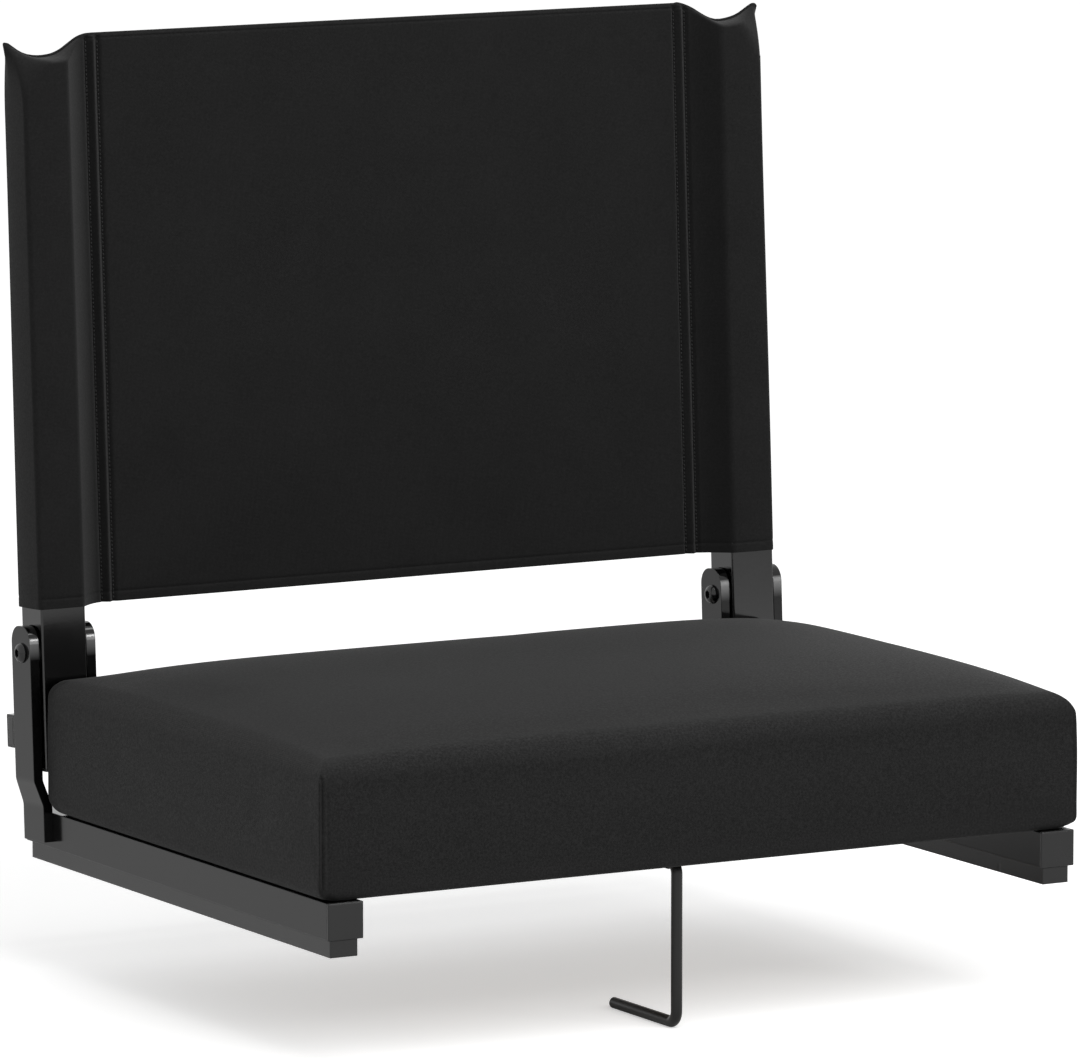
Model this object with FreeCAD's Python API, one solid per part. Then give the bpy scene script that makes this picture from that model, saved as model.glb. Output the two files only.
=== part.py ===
import FreeCAD
import Part
import math
import os

# Portable stadium seat: a cushioned base on two runners, a cloth back on two uprights that folds
# forward over the cushion, and a wire hook under the front edge that swings down behind a bench board.
# X runs across the seat, Y from front to rear, Z up. Sizes are in millimetres and degrees.

# Base: two box-tube runners, each on a foot strip
seat_width = 418.0            # over the outer faces of the runners
runner_width = 19.0
runner_height = 18.0
runner_wall = 1.5
runner_corner = 0.5
runner_tail = 13.9            # how far the runners reach behind the hinge pivot
strip_height = 8.6
strip_side_inset = 2.2
strip_end_inset = 2.1
plug_flange = 1.5
plug_depth = 12.0
plug_wall = 1.6
plug_ease = 0.05              # play of a plug in its tube, each side
plug_bevel = 0.3              # round the rim of a plug's flange

# Cushion: foam on a board, in a drawn-down cover
cushion_overhang = 3.6        # of its full sides past the runners
cushion_front = 2.7           # set back from the front end of the runners
cushion_edge = 66.5           # from the runners' tops to the cushion's top edge
cushion_crown = 16.0
crown_fullness = 3            # higher is flatter on top
crown_easing = 0.25           # growth of the corners' radius towards the crown
cushion_bulge = 30.0          # height at which the sides are fullest
cushion_edge_round = 10.5
cushion_foot_round = 3.0
cushion_foot_draw = 0.8       # how far the sides are drawn in at the foot
cushion_top_draw = 1.0
cushion_front_corner = 3.0
cushion_rear_corner = 3.0
cushion_gap = 1.4             # to the lower ends of the uprights
seat_cloth = 1.2
seat_ease = 0.2               # between the cover and what it holds
cover_margin = 24.0           # turned under the board on all four sides
board_thickness = 12.0
seat_screw_count = 2          # in each runner
seat_screw_margin = 36.0      # from the board's ends
seat_screw_inset = 7.5        # from the runner's inner face
seat_screw_bite = 9.5

# Hinge: two joggled ears welded to each runner, with the upright between them
seat_depth = 305.5            # from the front of the runners to the hinge pivot
pivot_rise = 12.8             # pivot above the cushion's top edge
back_lean = 3.0
hinge_gap = 1.0               # from the upright to each ear
ear_thickness = 5.0
ear_width = 20.2
ear_foot_widening = 2.0
ear_head = 13.4               # above the pivot
ear_corner = 8.5
ear_lap = 15.2                # down the side of the runner
joggle_start = 3.0            # above the runner's top
joggle_rise = 12.5
joggle_bend = 9.0
barrel_diameter = 8.0
barrel_short = 1.0            # of the inner ear's face, so that the screw draws tight
barrel_tap_run = 2.0          # thread past the end of the screw
hinge_screw_diameter = 5.0
hinge_screw_bite = 14.0
running_clearance = 0.05
button_diameter = 10.0
button_height = 2.8
button_flat = 5.0
socket_across = 4.0
socket_depth = 1.6
washer_diameter = 17.0
washer_play = 0.05            # on each side of a washer
bush_wall = 1.5

# Back: two uprights with a crossbar that stops against the ears, in a cloth cover
upright_width = 24.6
upright_depth = 22.2
upright_wall = 1.5
upright_corner = 1.0
upright_foot_gap = 4.5        # lower end above the ears' joggle
stop_gap = 0.1                # crossbar to the ears' rear edges
bar_height = 16.5
bar_depth = 8.0
bar_wall = 1.2
bar_corner = 0.8
bar_foot = 10.6               # from the uprights' lower ends up to the crossbar
bar_plug_depth = 10.0
top_plug_flange = 2.0
cover_gap = 9.0               # from the ears' tops up to the cover's lower edge
cover_height = 284.0
cover_dip = 10.0              # of the top seam over each upright
cover_slope = 8.0             # of the pockets' closed ends, up to the dipped seam
cover_room = 10.0             # from an upright's plug up to its pocket's closed end
dog_ear_drop = 2.8
dog_ear_flare = 4.0
back_cloth = 1.2
back_ease = 0.3
pocket_web = 19.5             # from the upright's inner face to the pocket's seam
panel_setback = 2.2           # of the panel behind the middle of the uprights
pocket_corner = 1.5
pocket_nip = 0.2              # half the space left where a pocket closes on its seam

# Bench hook: a bent rod that turns in two saddle clips under the board
rod_diameter = 5.6
hook_setback = 31.0           # its leg behind the front of the runners
hook_reach = 56.0             # its toe below the bench
hook_toe = 61.0
hook_bend = 6.0
hook_leg_drop = 4.2           # its upper run below the board
hook_head_diameter = 8.0
hook_head_length = 2.0
clip_width = 10.0
clip_gauge = 1.5
clip_flange = 10.0
clip_spacing = 42.0
clip_play = 0.08
clip_end_play = 1.0
clip_screw_bite = 8.0

# Screws that hold the board, and the clips
seat_screw_diameter = 4.5
seat_screw_head = 8.4
seat_screw_head_height = 2.6
seat_screw_recess = 4.4       # of the counterbore in the foot strip
clip_screw_diameter = 3.0
clip_screw_head = 5.6
clip_screw_head_height = 1.8
screw_play = 0.1              # of a screw in its holes, on the radius
screw_end_play = 0.5          # from a screw's end to the bottom of its hole
recess_play = 0.6

# Places that follow from the sizes, measured from the runners' front end and the bench
lean_sin = math.sin(math.radians(back_lean))
lean_cos = math.cos(math.radians(back_lean))
runner_top = strip_height + runner_height
runner_outer = seat_width / 2
runner_inner = runner_outer - runner_width
runner_middle = runner_outer - runner_width / 2
runner_length = seat_depth + runner_tail
cushion_width = seat_width + 2 * cushion_overhang
cushion_top_edge = runner_top + cushion_edge
pivot_height = cushion_top_edge + pivot_rise
pivot = FreeCAD.Vector(0, seat_depth, pivot_height)
upright_inner = runner_middle - upright_width / 2
upright_outer = runner_middle + upright_width / 2
upright_below = pivot_height - runner_top - joggle_start - joggle_rise - upright_foot_gap
ear_inner_face = upright_outer + hinge_gap
ear_outer_face = ear_inner_face + ear_thickness
ear_rear = upright_depth / 2 - stop_gap
ear_front = ear_rear - ear_width
bar_middle = upright_below - bar_foot - bar_height / 2
cushion_rear = (seat_depth - upright_depth / 2 * lean_cos - upright_below * lean_sin) - cushion_gap
board_bottom = runner_top + seat_cloth
board_top = board_bottom + board_thickness
cover_start = ear_head + cover_gap
cover_top = cover_start + cover_height
seam_low = cover_top - cover_dip
pocket_level = seam_low - cover_slope
plug_top = pocket_level - cover_room
upright_top = plug_top - top_plug_flange
seam_x = upright_inner - pocket_web
pocket_outer = upright_outer + back_ease + back_cloth
pocket_half_depth = upright_depth / 2 + back_ease + back_cloth
rod_radius = rod_diameter / 2
hook_axis_height = board_bottom - hook_leg_drop
board_inset = cushion_foot_draw + cushion_foot_round + seat_cloth + seat_ease
clip_first = max(hook_setback + hook_bend, cushion_front + board_inset + cover_margin) + clip_end_play
clip_last = clip_first + clip_spacing
hook_end = clip_last + clip_width + clip_end_play

# The part's origin: the middle of its width and depth, at the lowest point of the hook
overall_depth = seat_depth + pocket_half_depth * lean_cos + pocket_level * lean_sin
bench_height = hook_reach + rod_radius
to_origin = FreeCAD.Vector(0, -overall_depth / 2, bench_height)


def point(x, y, z):
    return FreeCAD.Vector(x, y, z)


across = point(1, 0, 0)
rearward = point(0, 1, 0)
upward = point(0, 0, 1)


def block(x0, x1, y0, y1, z0, z1):
    return Part.makeBox(x1 - x0, y1 - y0, z1 - z0, point(x0, y0, z0))


def rod(radius, start, axis, length):
    return Part.makeCylinder(radius, length, start, axis)


def outline(corners):
    """A closed wire of lines, with an arc of the given radius at each corner (point, radius)."""
    edges = []
    ends = []
    for index, (corner, radius) in enumerate(corners):
        before = (corners[index - 1][0] - corner).normalize()
        after = (corners[(index + 1) % len(corners)][0] - corner).normalize()
        half_angle = before.getAngle(after) / 2
        if radius <= 0 or half_angle > math.pi / 2 - 1e-4:
            ends.append((corner, corner, None))
            continue
        reach = radius / math.tan(half_angle)
        inward = (before + after).normalize()
        middle = corner + inward * (radius / math.sin(half_angle) - radius)
        ends.append((corner + before * reach, corner + after * reach, middle))
    for index, (first, last, middle) in enumerate(ends):
        if middle is not None:
            edges.append(Part.Arc(first, middle, last).toShape())
        following = ends[(index + 1) % len(ends)][0]
        if last.distanceToPoint(following) > 1e-6:
            edges.append(Part.makeLine(last, following))
    return Part.Wire(edges)


def rectangle(u0, u1, v0, v1, radius, place):
    corners = [(u0, v0), (u1, v0), (u1, v1), (u0, v1)]
    return outline([(place(u, v), radius) for u, v in corners])


def prism(wire, travel):
    return Part.Face(wire).extrude(travel)


def mirrored(shape):
    return shape.mirror(point(0, 0, 0), across)


def both_sides(shape):
    return [shape, mirrored(shape)]


def leaned(shape):
    """Take a shape from the back's own frame, pivot at zero and uprights vertical, to the seat."""
    turned = shape.copy()
    turned.rotate(point(0, 0, 0), across, -back_lean)
    turned.translate(pivot)
    return turned


def button_head(seat_centre, outward):
    """A low domed head with a hexagon socket, standing on its seat."""
    rim = 0.25 * button_height
    dome_middle = point((button_diameter + button_flat) / 4 + rim / 2, 0, 0.72 * button_height)
    profile = Part.Wire([
        Part.makeLine(point(0, 0, 0), point(button_diameter / 2, 0, 0)),
        Part.makeLine(point(button_diameter / 2, 0, 0), point(button_diameter / 2, 0, rim)),
        Part.Arc(point(button_diameter / 2, 0, rim), dome_middle,
                 point(button_flat / 2, 0, button_height)).toShape(),
        Part.makeLine(point(button_flat / 2, 0, button_height), point(0, 0, button_height)),
        Part.makeLine(point(0, 0, button_height), point(0, 0, 0)),
    ])
    head = Part.Face(profile).revolve(point(0, 0, 0), upward, 360)
    corner_radius = socket_across / 2 / math.cos(math.pi / 6)
    hexagon = outline([
        (point(corner_radius * math.cos(turn * math.pi / 3), corner_radius * math.sin(turn * math.pi / 3),
               button_height), 0)
        for turn in range(6)
    ])
    head = head.cut(prism(hexagon, upward * -socket_depth))
    head.Placement = FreeCAD.Placement(seat_centre, FreeCAD.Rotation(upward, outward))
    return head


def board_screw(head_seat, length, diameter, head, head_height):
    """An upright screw whose taper-sided head hangs under the seat; its shank goes up into the board."""
    shank = rod(diameter / 2, head_seat, upward, length)
    cap = Part.makeCone(head / 2, head / 3, head_height, head_seat, upward * -1)
    return shank.fuse(cap).removeSplitter()


# Runners, plugs and foot strips

def runner_outline(y, inset):
    return rectangle(
        runner_inner + inset, runner_outer - inset, strip_height + inset, runner_top - inset,
        max(runner_corner - inset, 0), lambda u, v: point(u, y, v))


def seat_screw_places():
    first = cushion_front + cushion_foot_draw + cushion_foot_round + seat_screw_margin
    last = cushion_rear - cushion_foot_draw - cushion_foot_round - seat_screw_margin
    step = (last - first) / (seat_screw_count - 1)
    x = runner_inner + seat_screw_inset
    return [point(x, first + step * index, 0) for index in range(seat_screw_count)]


def seat_screw_holes(z0, z1):
    radius = seat_screw_diameter / 2 + screw_play
    return [rod(radius, place + upward * z0, upward, z1 - z0) for place in seat_screw_places()]


def runner():
    length = runner_length - 2 * plug_flange
    tube = prism(runner_outline(plug_flange, 0), rearward * length)
    tube = tube.cut(prism(runner_outline(plug_flange, runner_wall), rearward * length))
    return tube.cut(seat_screw_holes(strip_height, runner_top))


def tube_plug(flange_wire, shank_wire, core_wire, inward, flange, depth):
    """A push-in end plug: a bevelled flange over the tube's end and a hollow shank in its bore."""
    plug = prism(flange_wire, inward * flange)
    end = inward.dot(flange_wire.Vertexes[0].Point)
    rim = [edge for edge in plug.Edges
           if max(inward.dot(corner.Point) for corner in edge.Vertexes) < end + 1e-6]
    plug = plug.makeChamfer(plug_bevel, rim)
    shank = prism(shank_wire, inward * (flange + depth))
    core = prism(core_wire, inward * depth)
    core.translate(inward * flange)
    return plug.fuse(shank).cut(core).removeSplitter()


def runner_plug(y, inward):
    bore_inset = runner_wall + plug_ease
    return tube_plug(
        runner_outline(y, 0), runner_outline(y, bore_inset), runner_outline(y, bore_inset + plug_wall),
        inward, plug_flange, plug_depth)


def foot_strip():
    strip = block(
        runner_inner + strip_side_inset, runner_outer - strip_side_inset,
        strip_end_inset, runner_length - strip_end_inset, 0, strip_height)
    recess_radius = seat_screw_head / 2 + recess_play
    recesses = [rod(recess_radius, place, upward, seat_screw_recess) for place in seat_screw_places()]
    return strip.cut(recesses + seat_screw_holes(0, strip_height))


# Seat cushion

def cushion_section(inset, z):
    """The cushion's level outline at height z, drawn in by the inset; corners ease as it closes."""
    half_width = cushion_width / 2 - inset
    front = cushion_front + inset
    rear = cushion_rear - inset
    room = 0.9 * min(half_width, (rear - front) / 2)
    easing = crown_easing * max(inset - cushion_foot_draw - cushion_foot_round, 0)
    front_corner = min(cushion_front_corner + easing, room)
    rear_corner = min(cushion_rear_corner + easing, room)
    corners = [
        (half_width - rear_corner, rear - rear_corner, rear_corner, 0),
        (rear_corner - half_width, rear - rear_corner, rear_corner, 90),
        (front_corner - half_width, front + front_corner, front_corner, 180),
        (half_width - front_corner, front + front_corner, front_corner, 270),
    ]
    places = []
    for x, y, radius, first in corners:
        for turn in (0, 30, 60, 90):
            angle = math.radians(first + turn)
            places.append(point(x + radius * math.cos(angle), y + radius * math.sin(angle), z))
    return Part.makePolygon(places + places[:1])


def cushion_form(skin):
    """The crowned cushion, drawn in at its foot and full at mid-height; skin offsets it inwards."""
    foot = runner_top + skin
    shoulder = cushion_top_edge - skin - cushion_edge_round
    half_depth = (cushion_rear - cushion_front) / 2 - cushion_top_draw
    levels = []
    for turn in (0, 45, 90):
        angle = math.radians(turn)
        levels.append((cushion_foot_draw + cushion_foot_round * (1 - math.sin(angle)),
                       foot + cushion_foot_round * (1 - math.cos(angle))))
    levels.append((0, runner_top + cushion_bulge))
    for reach in (0, 0.06, 0.2, 0.45, 1.0, 1.7, 2.8, 4.5, 6.5, 9.0):
        inset = reach * cushion_edge_round
        rise = cushion_edge_round * math.sqrt(1 - max(1 - reach, 0) ** 2)
        crown = cushion_crown * (1 - (1 - inset / half_depth) ** crown_fullness)
        levels.append((cushion_top_draw + inset, shoulder + rise + crown))
    return Part.makeLoft([cushion_section(inset + skin, z) for inset, z in levels], True, True)


def seat_board():
    board = prism(cushion_section(board_inset, board_bottom), upward * board_thickness)
    holes = []
    for hole in seat_screw_holes(board_bottom, board_bottom + seat_screw_bite + screw_end_play):
        holes += both_sides(hole)
    radius = clip_screw_diameter / 2 + screw_play
    depth = clip_screw_bite + screw_end_play
    holes += [rod(radius, place, upward, depth) for place in clip_screw_places()]
    return board.cut(holes)


def seat_foam():
    filling = cushion_form(seat_cloth + seat_ease)
    below = block(-seat_width, seat_width, -seat_depth, 2 * seat_depth, 0, board_top)
    return filling.cut(below)


def seat_cover():
    skin = cushion_form(0).cut(cushion_form(seat_cloth))
    opening = prism(cushion_section(board_inset + cover_margin, runner_top), upward * seat_cloth)
    holes = []
    for hole in seat_screw_holes(runner_top, board_bottom):
        holes += both_sides(hole)
    return skin.cut([opening] + holes)


def seat_screw(place):
    return board_screw(
        place + upward * seat_screw_recess, board_bottom - seat_screw_recess + seat_screw_bite,
        seat_screw_diameter, seat_screw_head, seat_screw_head_height)


# Hinge

def hinge_ear(side):
    """A flat bar with a round head, joggled to lie on the runner; side is 1 outside it, -1 inside."""
    low = -(pivot_height - runner_top + ear_lap)
    bend_low = -(pivot_height - runner_top - joggle_start)
    bend_high = bend_low + joggle_rise
    reach = 4 * ear_thickness + upright_width
    blank = outline([
        (point(-reach, ear_front, ear_head), ear_corner),
        (point(-reach, ear_front, bend_high), ear_thickness),
        (point(-reach, ear_front - ear_foot_widening, bend_low), ear_thickness),
        (point(-reach, ear_front - ear_foot_widening, low), 0),
        (point(-reach, ear_rear, low), 0),
        (point(-reach, ear_rear, ear_head), ear_corner),
    ])
    high_face = upright_width / 2 + hinge_gap
    low_face = runner_width / 2
    behind = ear_front - ear_foot_widening - ear_width
    strap = outline([
        (point(side * high_face, behind, ear_head), 0),
        (point(side * (high_face + ear_thickness), behind, ear_head), 0),
        (point(side * (high_face + ear_thickness), behind, bend_high), joggle_bend),
        (point(side * (low_face + ear_thickness), behind, bend_low), joggle_bend),
        (point(side * (low_face + ear_thickness), behind, low), 0),
        (point(side * low_face, behind, low), 0),
        (point(side * low_face, behind, bend_low), joggle_bend),
        (point(side * high_face, behind, bend_high), joggle_bend),
    ])
    ear = prism(blank, across * 2 * reach).common(prism(strap, rearward * 4 * ear_width))
    hole = rod(barrel_diameter / 2 + running_clearance, point(-reach, 0, 0), across, 2 * reach)
    ear = ear.cut(hole)
    ear.translate(across * runner_middle)
    return leaned(ear)


def hinge_barrel():
    """The pivot: a domed head on the outer ear and a tapped barrel that reaches into the inner ear."""
    length = 2 * (ear_thickness + hinge_gap) + upright_width - barrel_short
    seat = point(ear_outer_face, 0, 0)
    barrel = rod(barrel_diameter / 2, seat, across * -1, length)
    bore = rod(hinge_screw_diameter / 2 + running_clearance, seat + across * -length, across,
               hinge_screw_bite + barrel_tap_run)
    return leaned(barrel.fuse(button_head(seat, across)).cut(bore).removeSplitter())


def hinge_screw():
    seat = point(2 * runner_middle - ear_outer_face, 0, 0)
    shank = rod(hinge_screw_diameter / 2, seat, across, hinge_screw_bite + barrel_short)
    return leaned(shank.fuse(button_head(seat, across * -1)).removeSplitter())


def hinge_washer(face):
    start = point(face + washer_play, 0, 0)
    thickness = hinge_gap - 2 * washer_play
    ring = rod(washer_diameter / 2, start, across, thickness)
    return leaned(ring.cut(rod(barrel_diameter / 2 + running_clearance, start, across, thickness)))


def pivot_bush():
    start = point(upright_inner, 0, 0)
    bore_radius = barrel_diameter / 2 + running_clearance
    bush = rod(bore_radius + bush_wall, start, across, upright_width)
    return leaned(bush.cut(rod(bore_radius, start, across, upright_width)))


# Back

def upright_outline(z, inset):
    return rectangle(
        upright_inner + inset, upright_outer - inset, -upright_depth / 2 + inset, upright_depth / 2 - inset,
        max(upright_corner - inset, 0), lambda u, v: point(u, v, z))


def upright():
    low = plug_flange - upright_below
    tube = prism(upright_outline(low, 0), upward * (upright_top - low))
    tube = tube.cut(prism(upright_outline(low, upright_wall), upward * (upright_top - low)))
    bush_radius = barrel_diameter / 2 + running_clearance + bush_wall + running_clearance
    return leaned(tube.cut(rod(bush_radius, point(upright_inner, 0, 0), across, upright_width)))


def upright_plug(z, inward, flange):
    bore_inset = upright_wall + plug_ease
    return leaned(tube_plug(
        upright_outline(z, 0), upright_outline(z, bore_inset), upright_outline(z, bore_inset + plug_wall),
        inward, flange, plug_depth))


def bar_outline(x, inset):
    return rectangle(
        upright_depth / 2 + inset, upright_depth / 2 + bar_depth - inset,
        -bar_middle - bar_height / 2 + inset, -bar_middle + bar_height / 2 - inset,
        max(bar_corner - inset, 0), lambda u, v: point(x, u, v))


def crossbar():
    length = 2 * ear_outer_face
    bar = prism(bar_outline(-ear_outer_face, 0), across * length)
    return leaned(bar.cut(prism(bar_outline(-ear_outer_face, bar_wall), across * length)))


def crossbar_plug():
    wire = bar_outline(ear_outer_face, bar_wall + plug_ease)
    return leaned(prism(wire, across * -bar_plug_depth))


def pocket_corners(skin):
    """The corners of a pocket round an upright, from its seam; skin is the cloth outside its lining."""
    slack = back_ease + skin
    inner = upright_inner - back_ease
    front = -upright_depth / 2 - slack
    outer = upright_outer + slack
    rear = upright_depth / 2 + slack
    corner = pocket_corner + skin
    half_seam = max(skin, pocket_nip)
    return [
        (seam_x, panel_setback - half_seam, 0), (inner, front, corner), (outer, front, corner),
        (outer, rear, corner), (inner, rear, corner), (seam_x, panel_setback + half_seam, 0),
    ]


def pocket_wall():
    height = pocket_level - cover_start
    skins = []
    for skin in (back_cloth, 0):
        corners = [(point(x, y, cover_start), radius) for x, y, radius in pocket_corners(skin)]
        skins.append(prism(outline(corners), upward * height))
    return skins[0].cut(skins[1])


def pocket_top():
    """The closed end of a pocket: its walls run up to one seam that dips between two raised corners."""
    inner = upright_inner - back_ease
    ear_x = pocket_outer + dog_ear_flare
    ear_z = cover_top - dog_ear_drop
    low_x = (inner + pocket_outer) / 2
    fall_z = (2 * seam_low + cover_top) / 3
    rise_x = (pocket_outer + low_x) / 2
    rise_z = (4 * seam_low + ear_z) / 5
    faces = []
    rims = []
    for side in (-1, 1):
        wall = side * pocket_half_depth
        fold = panel_setback + side * back_cloth
        foot = [point(seam_x, fold, pocket_level), point(inner, wall, pocket_level),
                point(pocket_outer, wall, pocket_level), point(pocket_outer, fold, pocket_level)]
        seam_bend = point((seam_x + inner) / 2, fold, (2 * cover_top + fall_z) / 3)
        seam = [
            Part.Arc(point(seam_x, fold, cover_top), seam_bend, point(inner, fold, fall_z)).toShape(),
            Part.Arc(point(inner, fold, fall_z), point(low_x, fold, seam_low),
                     point(rise_x, fold, rise_z)).toShape(),
            Part.makeLine(point(rise_x, fold, rise_z), point(ear_x, fold, ear_z)),
        ]
        for index in range(3):
            base = Part.makeLine(foot[index], foot[index + 1])
            faces.append(Part.makeRuledSurface(base, seam[index], 1))
        rims.append((foot, seam))
    (front_foot, front_seam), (rear_foot, rear_seam) = rims
    faces += [Part.makeRuledSurface(first, second, 1) for first, second in zip(front_seam, rear_seam)]
    faces.append(Part.Face(Part.makePolygon(front_foot + rear_foot[::-1] + front_foot[:1])))
    for place in (0, -1):
        tips = [front_seam[place].Vertexes[place].Point, rear_seam[place].Vertexes[place].Point]
        faces.append(Part.Face(Part.makePolygon(
            [front_foot[place], tips[0], tips[1], rear_foot[place], front_foot[place]])))
    shell = Part.makeShell(faces)
    shell.sewShape()
    top = Part.makeSolid(shell)
    if top.Volume < 0:
        top.reverse()
    return top


def back_cover():
    panel = block(-seam_x, seam_x, panel_setback - back_cloth, panel_setback + back_cloth,
                  cover_start, cover_top)
    pockets = both_sides(pocket_wall()) + both_sides(pocket_top())
    return leaned(panel.fuse(pockets).removeSplitter())


# Bench hook and its clips

def bleacher_hook():
    leg_low = -hook_reach
    toe_end = hook_setback + hook_toe
    bend_lean = hook_bend * (1 - math.sqrt(0.5))

    def at(y, z):
        return point(0, y, z)

    path = Part.Wire([
        Part.makeLine(at(hook_end, hook_axis_height), at(hook_setback + hook_bend, hook_axis_height)),
        Part.Arc(at(hook_setback + hook_bend, hook_axis_height),
                 at(hook_setback + bend_lean, hook_axis_height - bend_lean),
                 at(hook_setback, hook_axis_height - hook_bend)).toShape(),
        Part.makeLine(at(hook_setback, hook_axis_height - hook_bend),
                      at(hook_setback, leg_low + hook_bend)),
        Part.Arc(at(hook_setback, leg_low + hook_bend),
                 at(hook_setback + bend_lean, leg_low + bend_lean),
                 at(hook_setback + hook_bend, leg_low)).toShape(),
        Part.makeLine(at(hook_setback + hook_bend, leg_low), at(toe_end, leg_low)),
    ])
    section = Part.Wire([Part.makeCircle(rod_radius, at(hook_end, hook_axis_height), rearward)])
    wire = path.makePipeShell([section], True, False)
    head = rod(hook_head_diameter / 2, at(hook_end, hook_axis_height), rearward, hook_head_length)
    tip = Part.makeCone(rod_radius, rod_radius / 2, rod_radius / 2, at(toe_end, leg_low), rearward)
    return wire.fuse([head, tip]).removeSplitter()


def clip_flange_middle():
    return rod_radius + clip_play + clip_gauge + clip_flange / 2


def clip_screw_places():
    places = []
    for y in (clip_first, clip_last):
        for side in (-1, 1):
            places.append(point(side * clip_flange_middle(), y + clip_width / 2, board_bottom))
    return places


def hook_clip(y):
    """A saddle strap: a half-round trough under the rod, with a flange against the board each side."""
    inner = rod_radius + clip_play
    outer = inner + clip_gauge
    end = outer + clip_flange
    axis_start = point(0, y, hook_axis_height)
    strap = rod(outer, axis_start, rearward, clip_width)
    strap = strap.fuse([
        block(-outer, outer, y, y + clip_width, hook_axis_height, board_bottom),
        block(-end, end, y, y + clip_width, board_bottom - clip_gauge, board_bottom),
    ])
    trough = rod(inner, axis_start, rearward, clip_width)
    throat = block(-inner, inner, y, y + clip_width, hook_axis_height, board_bottom)
    above = block(-outer, outer, y, y + clip_width, board_bottom, board_bottom + outer)
    radius = clip_screw_diameter / 2 + screw_play
    holes = [
        rod(radius, point(side * clip_flange_middle(), y + clip_width / 2, board_bottom - clip_gauge),
            upward, clip_gauge)
        for side in (-1, 1)
    ]
    return strap.cut([trough, throat, above] + holes).removeSplitter()


def clip_screw(place):
    return board_screw(
        place - upward * clip_gauge, clip_gauge + clip_screw_bite,
        clip_screw_diameter, clip_screw_head, clip_screw_head_height)


def all_parts():
    right_runner = runner()
    right_strip = foot_strip()
    outer_ear = hinge_ear(1)
    inner_ear = hinge_ear(-1)
    right_upright = upright()
    seat_screws = []
    for place in seat_screw_places():
        seat_screws += both_sides(seat_screw(place))
    washers = []
    for face in (upright_outer, upright_inner - hinge_gap):
        washers += both_sides(hinge_washer(face))
    return {
        "left_runner": mirrored(right_runner),
        "right_runner": right_runner,
        "runner_front_plugs": both_sides(runner_plug(0, rearward)),
        "runner_rear_plugs": both_sides(runner_plug(runner_length, rearward * -1)),
        "left_foot_strip": mirrored(right_strip),
        "right_foot_strip": right_strip,
        "left_outer_ear": mirrored(outer_ear),
        "left_inner_ear": mirrored(inner_ear),
        "right_outer_ear": outer_ear,
        "right_inner_ear": inner_ear,
        "hinge_barrels": both_sides(hinge_barrel()),
        "hinge_screws": both_sides(hinge_screw()),
        "hinge_washers": washers,
        "seat_board": seat_board(),
        "seat_foam": seat_foam(),
        "seat_cover": seat_cover(),
        "seat_screws": seat_screws,
        "hook_clips": [hook_clip(clip_first), hook_clip(clip_last)],
        "hook_clip_screws": [clip_screw(place) for place in clip_screw_places()],
        "left_upright": mirrored(right_upright),
        "right_upright": right_upright,
        "upright_top_plugs": both_sides(upright_plug(plug_top, upward * -1, top_plug_flange)),
        "upright_foot_plugs": both_sides(upright_plug(-upright_below, upward, plug_flange)),
        "pivot_bushes": both_sides(pivot_bush()),
        "crossbar": crossbar(),
        "crossbar_plugs": both_sides(crossbar_plug()),
        "back_cover": back_cover(),
        "bleacher_hook": bleacher_hook(),
    }


os.makedirs("parts", exist_ok=True)
for node, shapes in all_parts().items():
    shape = Part.makeCompound(shapes) if isinstance(shapes, list) else shapes
    shape.translate(to_origin)
    shape.exportStep(os.path.join("parts", node + ".step"))
    print(f"{node}: {len(shape.Solids)} solids, {shape.Volume:.0f} mm3, valid {shape.isValid()}")
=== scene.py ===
import math

import bmesh
import bpy
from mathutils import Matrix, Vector


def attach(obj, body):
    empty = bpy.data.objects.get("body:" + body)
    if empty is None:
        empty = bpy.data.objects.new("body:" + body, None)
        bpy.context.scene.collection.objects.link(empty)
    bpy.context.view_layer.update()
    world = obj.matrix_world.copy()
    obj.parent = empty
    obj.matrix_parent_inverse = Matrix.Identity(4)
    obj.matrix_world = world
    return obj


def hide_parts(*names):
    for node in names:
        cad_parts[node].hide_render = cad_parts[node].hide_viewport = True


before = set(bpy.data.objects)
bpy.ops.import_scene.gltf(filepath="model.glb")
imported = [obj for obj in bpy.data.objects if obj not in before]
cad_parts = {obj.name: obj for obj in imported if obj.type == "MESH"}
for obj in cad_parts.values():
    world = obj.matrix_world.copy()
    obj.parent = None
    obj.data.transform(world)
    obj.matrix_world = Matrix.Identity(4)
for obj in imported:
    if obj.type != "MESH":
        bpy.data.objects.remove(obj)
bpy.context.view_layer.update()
print("frame loaded,", len(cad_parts), "nodes")


# small helpers

def deselectAll():
    if bpy.context.object and bpy.context.object.mode != "OBJECT":
        bpy.ops.object.mode_set(mode="OBJECT")
    bpy.ops.object.select_all(action="DESELECT")


def workOn(piece):
    deselectAll()
    piece.select_set(True)
    bpy.context.view_layer.objects.active = piece


def applyModifier(piece, kind, **settings):
    workOn(piece)
    modifier = piece.modifiers.new(kind.title(), kind)
    for setting, value in settings.items():
        setattr(modifier, setting, value)
    bpy.ops.object.modifier_apply(modifier=modifier.name)


def selectFaces(piece, wanted):
    # in edit mode, by the face's centre and normal
    bpy.ops.mesh.select_mode(type="FACE")
    bpy.ops.mesh.select_all(action="DESELECT")
    mesh = bmesh.from_edit_mesh(piece.data)
    for face in mesh.faces:
        face.select_set(wanted(face.calc_center_median(), face.normal))
    mesh.select_flush_mode()
    bmesh.update_edit_mesh(piece.data)


def smoothStep(low, high, value):
    t = min(max((value - low) / (high - low), 0), 1)
    return t * t * (3 - 2 * t)


def hump(value, middle, width):
    return math.exp(-((value - middle) / width) ** 2)


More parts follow.
